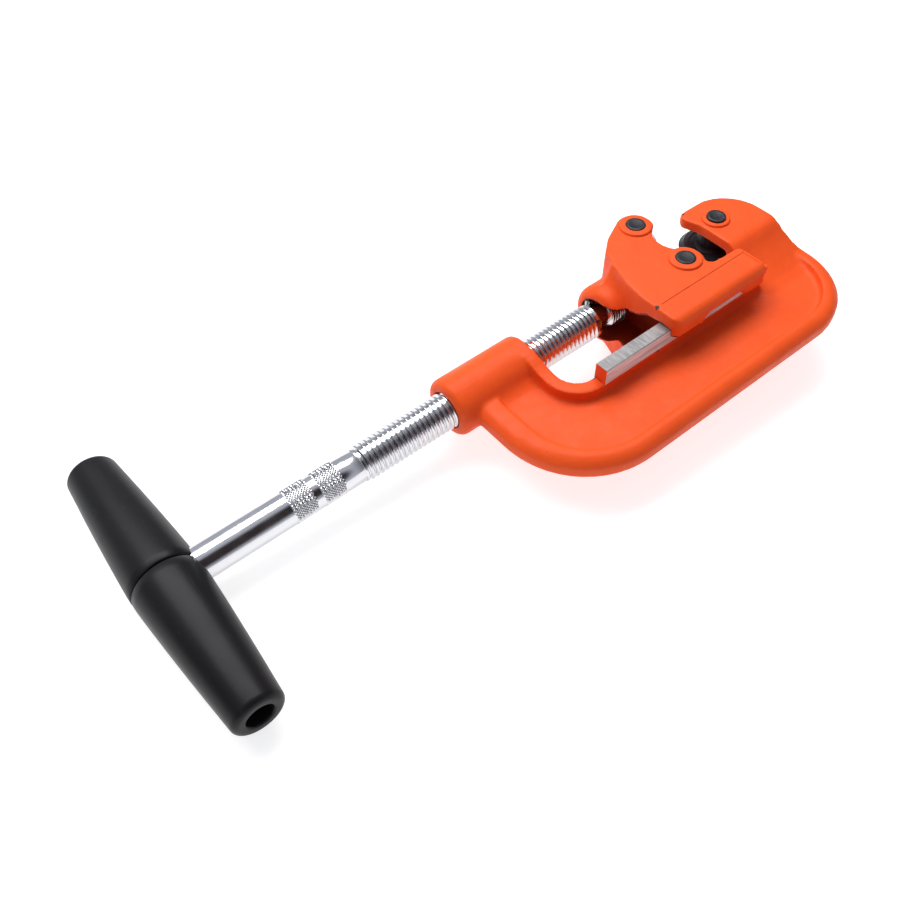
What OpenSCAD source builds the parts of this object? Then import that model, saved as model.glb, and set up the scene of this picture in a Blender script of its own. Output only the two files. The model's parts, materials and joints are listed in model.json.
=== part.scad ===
// Pipe cutter with a cast C-frame, a sliding roller housing and a T-handled feed screw.
// X runs along the feed screw towards the hook, Y out of the mouth and Z square to the frame's web.
// The origin is on the screw axis, in the outer end face of the threaded boss.

/* [Frame] */
// Length of the mouth, from the boss to the hook arm
mouth_l = 108; // [104:1:135]
// Length of the threaded boss
boss_l = 42; // [36:1:52]
// Outer diameter of the boss
boss_d = 26; // [25:0.5:32]
// Depth of the mouth, from the screw axis to the rail
mouth_depth = 30.3; // [29:0.1:38]
// Height of the spine behind the rail, along Y
spine_h = 32.6; // [26:0.1:44]
// Width of the hook arm
arm_w = 37; // [35:1:45]
// How far the hook's head is set in from the arm's outer edge
head_inset = 5.5; // [2:0.5:7]
// Thickness of the web
web_t = 5.6; // [4:0.1:8]
// Thickness of the outer rim
rim_t = 12; // [9:0.5:14]
// Width of the outer rim
rim_w = 7; // [5:0.5:9]
// Outer corner radius beside the boss
corner_near_r = 40; // [25:1:44]
// Outer corner radius below the hook
corner_far_r = 35; // [25:1:40]
// Thickness of the band around the mouth
band_t = 16.8; // [14:0.1:18]
// Corner radius of the mouth beside the boss
mouth_r = 10; // [6:0.5:13]

/* [Rail] */
// Thickness of the guide rail
rail_t = 6.1; // [5:0.1:8]
// Full height of the guide rail
rail_h = 32.4; // [30:0.1:35]
// Gap between the rail and the boss end of the mouth
rail_start = 11; // [10:0.5:13]
// Depth of the machined band below the rail's edge
rail_land = 7.8; // [5:0.1:9]

/* [Cutter wheel] */
// Diameter of the cutter wheel
wheel_d = 28; // [22:0.5:30]
// Thickness of the cutter wheel at its hub
blade_t = 5; // [3:0.1:6]
// Diameter of the wheel's hub
hub_d = 13; // [11:0.5:16]
// Thickness of one hook ear
ear_t = 5; // [4:0.1:6.5]
// Distance from the mouth's end to the wheel axis
wheel_set = 9; // [8:0.5:12]

/* [Rollers and housing] */
// Distance between the wheel axis and the roller axes
jaw_gap = 38.4; // [36:0.1:42]
// Diameter of a roller
roller_d = 21; // [17:0.5:23]
// Distance between the two roller axes
roller_pitch = 29.5; // [26:0.1:32]
// Length of a roller
roller_l = 31.4; // [24:0.1:34]
// Thickness of the housing's side plates
plate_t = 6.2; // [4.5:0.1:8]
// Length of the housing's slide block
block_l = 56; // [50:1:64]
// Thickness of the lips that hook behind the rail
lip_t = 3.6; // [3:0.1:5]
// Reach of the lips over the rail's back
lip_reach = 3.8; // [2.5:0.1:5]
// Diameter of a lobe around a roller pin
lobe_d = 17.2; // [15:0.2:20]
// Radius of the saddle between the lobes
saddle_r = 11; // [8:0.5:12]

/* [Pins and clips] */
// Diameter of the pin shanks
pin_d = 7; // [5:0.1:8]
// Diameter of the pin heads
pin_head_d = 8.8; // [8.4:0.1:10]
// Thickness of a retaining clip
clip_t = 1; // [0.8:0.1:1.4]

/* [Feed screw] */
// Outer diameter of the thread
screw_d = 15.9; // [14:0.1:19]
// Thread pitch
pitch = 2.31; // [1.5:0.01:3]
// Length of the thread
thread_l = 126.6; // [110:0.1:150]
// Diameter of the plain rod
rod_d = 14.1; // [12.5:0.1:15]
// Distance from the handle axis to the start of the thread
rod_l = 81.4; // [70:0.1:100]
// Diameter of the neck behind the nose
neck_d = 10; // [8:0.1:11]
// Diameter of the nose collar
nose_d = 13.6; // [12.5:0.1:15]
// Diameter of the pilot at the tip
pilot_d = 8; // [6:0.1:9]

/* [Handle] */
// Length of one grip half
grip_l = 63.3; // [50:0.1:80]
// Grip diameter at the middle of the handle
grip_mid_d = 27.7; // [25:0.1:34]
// Grip diameter at its outer end
grip_end_d = 20.2; // [17:0.1:26]
// Diameter of the cross bar
bar_d = 10; // [8:0.1:11]
// Diameter of the open hole at the end of each grip
grip_hole_d = 10.4; // [8.4:0.2:12]
// Depth of the open hole at the end of each grip
grip_hole_l = 9; // [5:0.5:15]

/* [Hidden] */

$fn = 96;
run_fit = 0.05;
slide_fit = 0.2;
end_play = 0.3;
cut = 1;

paint = [0.93, 0.30, 0.10];
steel = [0.72, 0.73, 0.75];
black = [0.09, 0.09, 0.10];

mouth_end = boss_l + mouth_l;
frame_left = 7;
frame_right = mouth_end + arm_w;
spine_y = -(mouth_depth + rail_t + spine_h);
rail_y = -(mouth_depth + rail_t);
rail_x = boss_l + rail_start;

wheel_x = mouth_end + wheel_set;
head_t = rail_h;
slot_t = head_t - 2 * ear_t;
hub_l = slot_t - 2 * end_play;
slot_r = wheel_d / 2 + 1.2;
head_y = -(slot_r + 2.3);
head_top = 13.6;
head_right = frame_right - head_inset;
head_slope = 10.5;
ear_boss_d = pin_head_d + 4.2;
boss_rise = 1;

roller_x = wheel_x - jaw_gap;
roller_y = roller_pitch / 2;
cavity_t = roller_l + 2 * end_play;
housing_t = max(cavity_t, rail_h + 2 * slide_fit) + 2 * plate_t;
block_end = roller_x + 24;
block_start = block_end - block_l;
lip_y = rail_y - slide_fit - lip_t;
block_top = -mouth_depth + 6.3;
pin_boss_d = pin_head_d + 6;
pin_head_t = 2.6;
wheel_pin_seat = head_t / 2 + boss_rise;
wheel_pin_rise = 1;
roller_pin_seat = housing_t / 2 + boss_rise;
roller_pin_rise = 0.5;
saddle_x = roller_x + saddle_r;

barrel_x = roller_x - 36.5;
barrel_d = boss_d + 1;
barrel_bore_d = screw_d + 1.5;
thrust_x = roller_x - 23.6;
washer_t = 1.5;
nose_l = 6.5;
neck_end = thrust_x - washer_t - end_play - nose_l;
thread_end = barrel_x - 2.5;
thread_start = thread_end - thread_l;
handle_x = thread_start - rod_l;
pilot_l = 8;
thread_h = 0.55 * pitch;
hollow_end = thrust_x + 6.6;
keeper_d = 3;
keeper_y = neck_d / 2 + keeper_d / 2 + run_fit;
keeper_x = thread_end + (neck_end - thread_end) / 2 + 0.9;
keeper_top = 9;

// A square corner less its quarter round, for rounding an outline's corner at the origin.
module corner_cut(r) {
    difference() {
        translate([-cut, -cut]) square(r + cut);
        translate([r, r]) circle(r);
    }
}

// The outer outline of the frame, drawn in by `inset`, up to the height `top`.
// Beside the hook's head it steps in by the head's own inset.
module frame_outline(inset, top) {
    x0 = frame_left + inset;
    x1 = frame_right - inset;
    y0 = spine_y + inset;
    difference() {
        translate([x0, y0]) square([x1 - x0, top - y0]);
        translate([x0, y0]) corner_cut(corner_near_r - inset);
        translate([x1, y0]) mirror([1, 0]) corner_cut(corner_far_r - inset);
        // Neck beside the head
        polygon([[x1 + cut, head_y - head_slope], [x1, head_y - head_slope],
            [x1 - head_inset, head_y + 1.5], [x1 - head_inset, 20], [x1 + cut, 20]]);
    }
}

// The mouth between the boss and the hook arm, grown by `grow`.
module mouth_outline(grow) {
    x0 = boss_l - grow;
    x1 = mouth_end + grow;
    y0 = -mouth_depth - grow;
    difference() {
        translate([x0, y0]) square([x1 - x0, 80]);
        translate([x0, y0]) corner_cut(mouth_r + grow);
    }
}

// The hook's head seen along Z: a beak in front, a round shoulder behind.
module head_outline() {
    shoulder_r = 21;
    beak_r = 4;
    front = mouth_end + 2;
    beak = [front - 1, head_top - beak_r - 0.4];
    difference() {
        union() {
            translate([front, head_y - head_slope - 6])
                square([head_right - front, head_top - head_y + head_slope + 6]);
            polygon([[front, 0.5], [beak[0] - beak_r * 0.85, beak[1] - beak_r * 0.5],
                [beak[0], beak[1] + beak_r], [front + 8, head_top], [front + 8, 0.5]]);
            translate(beak) circle(beak_r);
        }
        translate([head_right, head_top]) rotate(180) corner_cut(shoulder_r);
    }
}

// The head's side view, which tapers from its full thickness down to the arm.
module head_taper() {
    foot = head_y - head_slope;
    rotate([90, 0, 90])
        translate([0, 0, mouth_end - 20])
            linear_extrude(arm_w + 20)
                polygon([[head_top + 1, -head_t / 2], [head_top + 1, head_t / 2],
                    [head_y, head_t / 2], [foot, band_t / 2], [foot - 9, web_t / 2],
                    [foot - 9, -web_t / 2], [foot, -band_t / 2], [head_y, -head_t / 2]]);
}

module frame() {
    color(paint) difference() {
        union() {
            // Web, with the outer rim round it
            linear_extrude(web_t, center = true) difference() {
                frame_outline(0, -1);
                mouth_outline(0);
            }
            linear_extrude(rim_t, center = true) difference() {
                frame_outline(0, -1);
                mouth_outline(0);
                frame_outline(rim_w, 20);
            }
            // Raised band round the boss end of the mouth
            linear_extrude(band_t, center = true) intersection() {
                difference() {
                    mouth_outline(rail_t + 0.5);
                    mouth_outline(0);
                }
                translate([boss_l - 20, -mouth_depth - 20]) square([mouth_l, mouth_depth + 20]);
            }
            // Boss
            rotate([0, 90, 0]) cylinder(d = boss_d, h = boss_l);
            // Guide rail
            translate([rail_x, rail_y, -rail_h / 2])
                cube([mouth_end - rail_x + cut, rail_t, rail_h]);
            // Arm, from the rim up to the head
            linear_extrude(rim_t, center = true) difference() {
                frame_outline(0, head_y);
                translate([0, spine_y - cut]) square([mouth_end, 200]);
                translate([mouth_end - cut, spine_y - cut])
                    square([arm_w + 2 * cut, head_y - head_slope - 9 - spine_y + cut]);
            }
            // Head, with its sides drawn in from the arm's
            intersection() {
                head_taper();
                linear_extrude(head_t, center = true) union() {
                    head_outline();
                    translate([mouth_end, head_y - head_slope - 9])
                        square([head_right - mouth_end, head_slope + 9 + cut]);
                }
            }
            for (side = [-1, 1])
                translate([wheel_x, 0, side * (head_t / 2 + boss_rise / 2)])
                    cylinder(d = ear_boss_d, h = boss_rise, center = true);
        }
        // Screw hole, opened out at its outer end
        translate([-cut, 0, 0]) rotate([0, 90, 0])
            cylinder(r = screw_d / 2 + run_fit, h = boss_l + 2 * cut);
        translate([-cut, 0, 0]) rotate([0, 90, 0])
            cylinder(d1 = screw_d + 1.6 + 2 * cut, d2 = screw_d, h = 0.8 + cut);
        // Wheel slot between the ears
        translate([wheel_x, 0, 0]) cylinder(r = slot_r, h = slot_t, center = true);
        translate([wheel_x - 40, -slot_r, -slot_t / 2]) cube([40, slot_r + 40, slot_t]);
        translate([wheel_x - 1, 0, -slot_t / 2]) cube([slot_r + 1, 40, slot_t]);
        // Wheel pin hole and the seat of its head
        translate([wheel_x, 0, -head_t]) cylinder(r = pin_d / 2 + run_fit, h = 2 * head_t);
        translate([wheel_x, 0, wheel_pin_seat + wheel_pin_rise - pin_head_t])
            cylinder(r = pin_head_d / 2 + run_fit, h = 10);
        // Groove along the rail's machined back
        for (side = [-1, 1])
            translate([rail_x - cut, rail_y - 1, side * (rail_h / 2 - rail_land * 0.62) - 0.4])
                cube([mouth_l, 1.3, 0.8]);
    }
}

// A headed pin along -Z from the top of its head at `top`, grooved for a clip below `seat`.
module headed_pin(top, seat) {
    groove_z = -seat - 0.1 - clip_t;
    difference() {
        union() {
            translate([0, 0, groove_z - 1.1]) cylinder(d = pin_d, h = top - groove_z);
            translate([0, 0, top - pin_head_t]) cylinder(d = pin_head_d, h = pin_head_t);
        }
        translate([0, 0, groove_z]) difference() {
            cylinder(d = pin_d + 2, h = clip_t);
            cylinder(d = pin_d - 1.4, h = clip_t);
        }
    }
}

// An open retaining clip that sits in a pin's groove below `seat`.
module pin_clip(seat) {
    translate([0, 0, -seat - 0.1 - clip_t]) difference() {
        cylinder(d = pin_d + 4, h = clip_t);
        translate([0, 0, -cut]) cylinder(d = pin_d - 1.4 + 0.1, h = clip_t + 2 * cut);
        translate([0, -pin_d * 0.32, -cut]) cube([pin_d, pin_d * 0.64, clip_t + 2 * cut]);
    }
}

module cutter_wheel() {
    land = blade_t / 2;
    rim_r = wheel_d / 2;
    color(black) translate([wheel_x, 0, 0]) rotate_extrude()
        polygon([[pin_d / 2 + run_fit, -hub_l / 2], [hub_d / 2 - 0.6, -hub_l / 2],
            [hub_d / 2, -hub_l / 2 + 0.6], [hub_d / 2, -land], [rim_r - 1.6, -land * 0.9],
            [rim_r, -0.1], [rim_r, 0.1], [rim_r - 1.6, land * 0.9], [hub_d / 2, land],
            [hub_d / 2, hub_l / 2 - 0.6], [hub_d / 2 - 0.6, hub_l / 2],
            [pin_d / 2 + run_fit, hub_l / 2]]);
}

module wheel_pin() {
    color(black) translate([wheel_x, 0, 0])
        headed_pin(wheel_pin_seat + wheel_pin_rise, wheel_pin_seat);
}

module wheel_pin_clip() {
    color(black) translate([wheel_x, 0, 0]) pin_clip(wheel_pin_seat);
}

// The housing's side plates seen along Z.
module plate_outline() {
    rear = block_start + 1.5;
    shoulder = [roller_x - 14, roller_y + 2.9];
    difference() {
        union() {
            difference() {
                translate([block_start, lip_y]) square([block_l, block_top - lip_y]);
                translate([block_start, lip_y]) corner_cut(5);
            }
            polygon([[rear, block_top - cut], [rear, 3], [rear + 8, 11.5], shoulder,
                [roller_x - 4.2, roller_y + lobe_d / 2 - 1.1], [roller_x + 7.4, roller_y + 4.3],
                [roller_x + 7.4, -roller_y - 4.3], [roller_x + 5.6, block_top - cut]]);
            for (side = [-1, 1])
                translate([roller_x, side * roller_y]) circle(d = lobe_d);
        }
        translate([saddle_x, 0]) circle(saddle_r);
        translate([saddle_x, -roller_y + 6]) square([30, 2 * roller_y - 12]);
    }
}

// The slide block's section seen along X, rounded on the side away from the mouth.
module block_section() {
    edge_r = 3.5;
    half = housing_t / 2;
    difference() {
        translate([lip_y, -half]) square([roller_y + lobe_d - lip_y, housing_t]);
        for (side = [0, 1]) mirror([0, side])
            translate([lip_y, -half]) corner_cut(edge_r);
    }
}

module roller_housing() {
    bearing_y = -mouth_depth + slide_fit;
    color(paint) difference() {
        union() {
            intersection() {
                linear_extrude(housing_t, center = true) plate_outline();
                translate([block_start - 1, 0, 0]) rotate([90, 0, 90])
                    linear_extrude(block_l + 20) block_section();
            }
            translate([barrel_x, 0, 0]) rotate([0, 90, 0])
                cylinder(d = barrel_d, h = thrust_x - barrel_x + 2);
            for (side = [-1, 1], end = [-1, 1])
                translate([roller_x, side * roller_y, end * (housing_t / 2 + boss_rise / 2)])
                    cylinder(d = pin_boss_d, h = boss_rise, center = true);
        }
        // Rail slot, closed by the lips at the top and bottom
        translate([block_start - cut, rail_y - slide_fit, -rail_h / 2 - slide_fit])
            cube([block_l + 2 * cut, rail_t + 2 * slide_fit, rail_h + 2 * slide_fit]);
        translate([block_start - cut, lip_y - cut, -rail_h / 2 + lip_reach])
            cube([block_l + 2 * cut, lip_t + 2 * cut, rail_h - 2 * lip_reach]);
        // Relief in the middle of each lip
        translate([block_start + 12, lip_y - cut, -rail_h / 2 + 0.7])
            cube([block_l - 24, lip_t + 2 * cut, rail_h - 1.4]);
        // Room for the hook arm beyond the rollers
        translate([roller_x + 2, bearing_y - cut, -rail_h / 2 - slide_fit])
            cube([block_l, 60, rail_h + 2 * slide_fit]);
        // Roller cavity
        translate([roller_x, -roller_y, -cavity_t / 2])
            cylinder(d = roller_d + 1.6, h = cavity_t);
        translate([roller_x, roller_y, -cavity_t / 2])
            cylinder(d = roller_d + 1.6, h = cavity_t);
        translate([roller_x - 8, -roller_y - 1, -cavity_t / 2])
            cube([60, 2 * roller_y + 40, cavity_t]);
        // Hollow behind the rear wall, which opens the barrel towards the rail
        translate([barrel_x - cut, bearing_y + 4, -barrel_bore_d / 2])
            cube([hollow_end - barrel_x + cut, mouth_depth - 4.2, barrel_bore_d]);
        translate([block_start - cut, bearing_y - cut, -rail_h / 2 - slide_fit])
            cube([9, 5 + cut, rail_h + 2 * slide_fit]);
        // Barrel bore and the seat of the screw's pilot
        translate([barrel_x - cut, 0, 0]) rotate([0, 90, 0])
            cylinder(d = barrel_bore_d, h = thrust_x - barrel_x + cut);
        translate([barrel_x, 0, 0]) rotate([0, 90, 0])
            cylinder(r = pilot_d / 2 + run_fit, h = thrust_x - barrel_x + pilot_l + 1);
        translate([keeper_x, keeper_y, -barrel_d])
            cylinder(d = keeper_d, h = barrel_d + keeper_top);
        // Pin holes and the seats of their heads
        for (side = [-1, 1]) translate([roller_x, side * roller_y, 0]) {
            translate([0, 0, -housing_t]) cylinder(r = pin_d / 2 + run_fit, h = 2 * housing_t);
            translate([0, 0, roller_pin_seat + roller_pin_rise - pin_head_t])
                cylinder(r = pin_head_d / 2 + run_fit, h = 10);
        }
    }
}

module roller(y) {
    chamfer = 0.8;
    color(steel) translate([roller_x, y, 0]) rotate_extrude()
        polygon([[pin_d / 2 + run_fit, -roller_l / 2], [roller_d / 2 - chamfer, -roller_l / 2],
            [roller_d / 2, -roller_l / 2 + chamfer], [roller_d / 2, roller_l / 2 - chamfer],
            [roller_d / 2 - chamfer, roller_l / 2], [pin_d / 2 + run_fit, roller_l / 2]]);
}

module roller_near() { roller(-roller_y); }
module roller_far() { roller(roller_y); }

module roller_pin(y) {
    color(black) translate([roller_x, y, 0])
        headed_pin(roller_pin_seat + roller_pin_rise, roller_pin_seat);
}

module roller_pin_near() { roller_pin(-roller_y); }
module roller_pin_far() { roller_pin(roller_y); }

module roller_clip(y) {
    color(black) translate([roller_x, y, 0]) pin_clip(roller_pin_seat);
}

module roller_clip_near() { roller_clip(-roller_y); }
module roller_clip_far() { roller_clip(roller_y); }

// Half the screw's profile, as [distance from the handle axis, radius].
function thread_points(start, turns) = [for (i = [0:turns - 1], k = [0:3])
    [start + (i + [0.06, 0.44, 0.56, 0.94][k]) * pitch,
     screw_d / 2 - ([1, 0, 0, 1][k]) * thread_h]];

module feed_screw() {
    turns = floor((thread_l - 2) / pitch);
    start = rod_l;
    nose = neck_end - handle_x;
    tip = nose + nose_l;
    stub = rod_d * 0.62;
    color(steel) difference() {
        translate([handle_x, 0, 0]) rotate([0, 90, 0]) rotate_extrude()
            polygon([for (p = concat(
                [[-stub, 0], [-stub, rod_d / 2 - 0.8], [0.8 - stub, rod_d / 2],
                 [start - 1.5, rod_d / 2], [start, screw_d / 2 - thread_h]],
                thread_points(start, turns),
                [[start + thread_l - 1.2, screw_d / 2 - 0.2],
                 [start + thread_l, screw_d / 2 - 0.9], [start + thread_l, neck_d / 2],
                 [nose, neck_d / 2], [nose, nose_d / 2 - 0.5], [nose + 0.5, nose_d / 2],
                 [tip - 0.5, nose_d / 2], [tip, nose_d / 2 - 0.5], [tip, pilot_d / 2],
                 [tip + washer_t + end_play + pilot_l - 0.5, pilot_d / 2],
                 [tip + washer_t + end_play + pilot_l, pilot_d / 2 - 0.5],
                 [tip + washer_t + end_play + pilot_l, 0]])) [p[1], p[0]]]);
        translate([handle_x, 0, 0]) rotate([90, 0, 0])
            cylinder(d = bar_d, h = 2 * rod_d, center = true);
        translate([handle_x, 0, 0]) cylinder(d = keeper_d, h = 2 * rod_d, center = true);
    }
}

module screw_retaining_pin() {
    bottom = sqrt(pow(barrel_d / 2, 2) - pow(keeper_y, 2)) - 0.5;
    color(steel) translate([keeper_x, keeper_y, -bottom])
        cylinder(d = keeper_d, h = bottom + keeper_top);
}

module thrust_washer() {
    color(steel) translate([thrust_x - washer_t, 0, 0]) rotate([0, 90, 0]) difference() {
        cylinder(d = nose_d + 1.4, h = washer_t);
        translate([0, 0, -cut]) cylinder(r = pilot_d / 2 + 0.15, h = washer_t + 2 * cut);
    }
}

module handle_bar() {
    bar_l = 2 * (grip_l - grip_hole_l);
    color(steel) translate([handle_x, 0, 0]) difference() {
        rotate([90, 0, 0]) cylinder(d = bar_d, h = bar_l, center = true);
        cylinder(d = keeper_d, h = 2 * rod_d, center = true);
    }
}

module handle_pin() {
    color(steel) translate([handle_x, 0, 0])
        cylinder(d = keeper_d, h = rod_d - 0.6, center = true);
}

// One tapered grip half, from the middle of the handle to its end at -Y.
module grip_half() {
    mid_r = grip_mid_d / 2;
    end_r = grip_end_d / 2;
    lip = 2.5;
    color(black) difference() {
        rotate([90, 0, 0]) rotate_extrude() difference() {
            union() {
                polygon([[0, 0.1], [mid_r - 0.4, 0.1], [mid_r, 0.6], [mid_r, 4],
                    [end_r, grip_l - lip], [end_r - lip, grip_l], [0, grip_l]]);
                translate([end_r - lip, grip_l - lip]) circle(lip);
            }
            translate([-cut, -cut]) square([bar_d / 2 + cut, grip_l + 2 * cut]);
            translate([-cut, grip_l - grip_hole_l])
                square([grip_hole_d / 2 + cut, grip_hole_l + cut]);
        }
        // Socket for the end of the rod
        translate([-rod_d * 0.62 - 0.1, 0, 0]) rotate([0, 90, 0])
            cylinder(r = rod_d / 2 + 0.05, h = grip_mid_d);
    }
}

module grip_near() { translate([handle_x, 0, 0]) grip_half(); }
module grip_far() { translate([handle_x, 0, 0]) mirror([0, 1, 0]) grip_half(); }

frame();
cutter_wheel();
wheel_pin();
wheel_pin_clip();
roller_housing();
roller_near();
roller_far();
roller_pin_near();
roller_pin_far();
roller_clip_near();
roller_clip_far();
feed_screw();
screw_retaining_pin();
thrust_washer();
handle_bar();
handle_pin();
grip_near();
grip_far();
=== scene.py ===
"""Looks for a hand pipe cutter: painted castings, a chromed feed screw, moulded grips, pins and a wheel."""

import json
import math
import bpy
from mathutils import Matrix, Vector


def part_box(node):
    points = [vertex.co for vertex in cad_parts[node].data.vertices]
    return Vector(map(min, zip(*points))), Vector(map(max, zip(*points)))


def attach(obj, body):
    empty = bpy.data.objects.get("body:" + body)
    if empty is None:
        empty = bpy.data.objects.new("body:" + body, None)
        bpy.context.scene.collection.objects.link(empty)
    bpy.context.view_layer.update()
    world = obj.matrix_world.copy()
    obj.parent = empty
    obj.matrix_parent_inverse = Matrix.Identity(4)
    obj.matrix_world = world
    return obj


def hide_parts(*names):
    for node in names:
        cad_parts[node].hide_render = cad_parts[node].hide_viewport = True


bl_info = {
    "name": "Pipe cutter",
    "version": (1, 0, 0),
    "blender": (4, 5, 0),
    "location": "3D View > Sidebar > Pipe cutter",
    "description": "Builds the castings, screw, grips, pins and wheel of a hand pipe cutter",
    "category": "Add Mesh",
}

from types import SimpleNamespace

import bmesh
import bpy
from bpy.props import FloatProperty, FloatVectorProperty, IntProperty, PointerProperty
from mathutils import Matrix, Vector

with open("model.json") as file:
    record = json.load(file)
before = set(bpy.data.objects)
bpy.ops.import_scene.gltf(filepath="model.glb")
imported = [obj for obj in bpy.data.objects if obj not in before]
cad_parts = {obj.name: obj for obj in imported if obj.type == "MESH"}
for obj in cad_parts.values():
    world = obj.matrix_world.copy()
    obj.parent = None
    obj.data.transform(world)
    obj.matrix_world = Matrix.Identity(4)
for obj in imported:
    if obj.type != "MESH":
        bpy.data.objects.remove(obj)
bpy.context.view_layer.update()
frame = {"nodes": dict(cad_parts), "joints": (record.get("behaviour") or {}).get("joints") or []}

MM = 0.001
INSIDE_PAINTED_SHADE = (0.22, 0.12)  # painted shade: the enamel's two colours dimmed on the housing's inner faces


JOINTS = {joint["name"]: joint for joint in frame["joints"]}


def node_box(node):
    """A CAD node's lowest and highest corners, in millimetres."""
    low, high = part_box(node)
    return low / MM, high / MM


def joint_point(joint):
    """A point on a hinge's axis, in millimetres."""
    return Vector(JOINTS[joint]["pos_m"]) / MM


FRAME_LOW, FRAME_HIGH = node_box("frame")
HOUSING_LOW, HOUSING_HIGH = node_box("roller_housing")
SCREW_LOW, SCREW_HIGH = node_box("feed_screw")
GRIP_LOW = node_box("grip_near")[0]
WASHER_LOW, WASHER_HIGH = node_box("thrust_washer")
WHEEL_LOW, WHEEL_HIGH = node_box("cutter_wheel")
WHEEL_AXIS = joint_point("wheel_spin")
ROLLERS = {"near": joint_point("roller_near_spin"), "far": joint_point("roller_far_spin")}
HANDLE_X = sum(corner.x for corner in node_box("handle_bar")) / 2


# Sizes and colours -------------------------------------------------------------------------------


def length(name, description, value):
    """A length property whose default is given in millimetres."""
    return FloatProperty(
        name=name, description=description, default=value * MM, subtype="DISTANCE", precision=4
    )


def colour(name, description, value):
    """A colour property."""
    return FloatVectorProperty(
        name=name, description=description, default=value, size=3, min=0, max=1, subtype="COLOR"
    )


class FrameCastingSizes(bpy.types.PropertyGroup):
    """Sizes of the cast C-frame."""

    boss_l: length("Boss length", "Length of the threaded boss", 42)
    boss_r: length("Boss radius", "Outer radius of the threaded boss", 12.8)
    mouth_l: length("Mouth length", "From the boss to the hook arm", 108)
    mouth_depth: length("Mouth depth", "From the screw axis to the rail", 30.3)
    mouth_r: length("Mouth corner", "Corner radius of the mouth beside the boss", 10)
    web_t: length("Web", "Thickness of the web", 5.6)
    bead_t: length("Bead thickness", "Thickness of the bead round the outside", 11.6)
    bead_w: length("Bead width", "Width of the bead along the spine", 7.0)
    near_r: length("Near corner", "Outer corner radius beside the boss", 40)
    far_r: length("Far corner", "Outer corner radius below the hook", 35)
    left: length("Left edge", "From the boss's end to the casting's left edge", 7)
    head_inset: length("Head inset", "From the casting's right edge to the hook's head", 5.5)
    head_top: length("Head top", "From the screw axis to the top of the hook's head", 13.5)
    band_t: length("Band", "Thickness of the band round the mouth", 16.8)
    rail_t: length("Rail", "Thickness of the guide rail", 6.1)
    rail_h: length("Rail height", "Full height of the guide rail", 32.4)
    rail_start: length("Rail start", "From the mouth's end to the rail", 11)
    slot_t: length("Wheel slot", "Width of the slot between the hook's ears", 22.4)
    slot_r: length("Slot radius", "Radius of the wheel slot round the wheel's axis", 15.2)


class HousingSizes(bpy.types.PropertyGroup):
    """Sizes of the sliding roller housing."""

    half_t: length("Half thickness", "From the middle to the side plates' outer faces", 22.6)
    barrel_r: length("Barrel radius", "Outer radius of the barrel round the screw", 13.5)
    bore_r: length("Barrel bore", "Radius of the barrel's bore", 8.7)
    lobe_r: length("Lobe radius", "Radius of the lobe round a roller pin", 8.6)
    ring_r: length("Pin ring radius", "Radius of the raised ring round a roller pin", 7.4)
    saddle_r: length("Saddle radius", "Radius of the saddle between the lobes", 11)
    panel_y: length("Panel line", "From the screw axis to the line along the block", 27.4)
    cavity_half: length("Cavity", "Half the room between the plates", 16.0)


class ScrewSizes(bpy.types.PropertyGroup):
    """Sizes of the feed screw."""

    rod_r: length("Rod radius", "Radius of the plain rod", 7.05)
    thread_r: length("Thread radius", "Outer radius of the thread", 7.95)
    pitch: length("Pitch", "Advance of the thread in one turn", 2.31)
    thread_depth: length("Thread depth", "Depth of the thread", 1.25)
    thread_start: length("Thread start", "Where the thread starts along the screw", -45.0)
    thread_end: length("Thread end", "Where the thread ends along the screw", 81.6)
    knurl_start: length("Knurl start", "Where the first knurled band starts", -76.2)
    knurl_l: length("Knurl length", "Length of one knurled band", 10.1)
    knurl_gap: length("Knurl gap", "Plain gap between the two knurled bands", 2.7)
    knurl_depth: length("Knurl depth", "Depth of the knurl's grooves", 0.42)
    diamonds: IntProperty(
        name="Diamonds", description="Diamonds round a knurled band", default=34, min=8, max=90
    )


class GripSizes(bpy.types.PropertyGroup):
    """Sizes of the T-handle's two grips."""

    middle_r: length("Middle radius", "Radius where the two grips meet", 13.84)
    end_r: length("End radius", "Radius at the outer end", 10.1)
    grip_l: length("Length", "Length of one grip", 63.3)
    lip_r: length("Lip", "Rounding at the outer end", 2.6)
    hole_r: length("Hole radius", "Radius of the hole in the end", 5.2)
    hole_l: length("Hole depth", "Depth of the hole in the end", 9)


class FinishColours(bpy.types.PropertyGroup):
    """Colours of the finishes."""

    paint: colour("Paint", "Orange enamel on the castings", (0.88, 0.098, 0.016))
    # A darker copy of the paint: mixed in at random, laid into concave creases, and dimmed further as
    # painted shade inside the housing.
    paint_shade: colour("Paint in recesses", "The enamel where it lies thick", (0.62, 0.048, 0.009))
    iron: colour("Bare iron", "Iron where the enamel is chipped", (0.075, 0.05, 0.04))
    milled: colour("Milled iron", "Machined faces of the rail", (0.27, 0.26, 0.255))
    chrome: colour("Chrome", "Plating on the feed screw", (0.68, 0.68, 0.70))
    steel: colour("Steel", "Turned steel of the rollers and small parts", (0.46, 0.46, 0.47))
    black_steel: colour("Black steel", "Blackened steel of the pins and the wheel", (0.022, 0.023, 0.027))
    grip: colour("Grip", "Moulded plastic of the handle", (0.0095, 0.0092, 0.0105))
    floor: colour("Floor", "Studio floor", (0.46, 0.46, 0.46))


def in_mm(group):
    """A property group's lengths in millimetres, and its counts as they are."""
    values = {name: getattr(group, name) for name in group.__annotations__}
    return SimpleNamespace(**{n: v if isinstance(v, int) else v / MM for n, v in values.items()})


# Shapes, in millimetres ----------------------------------------------------------------------------


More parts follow.
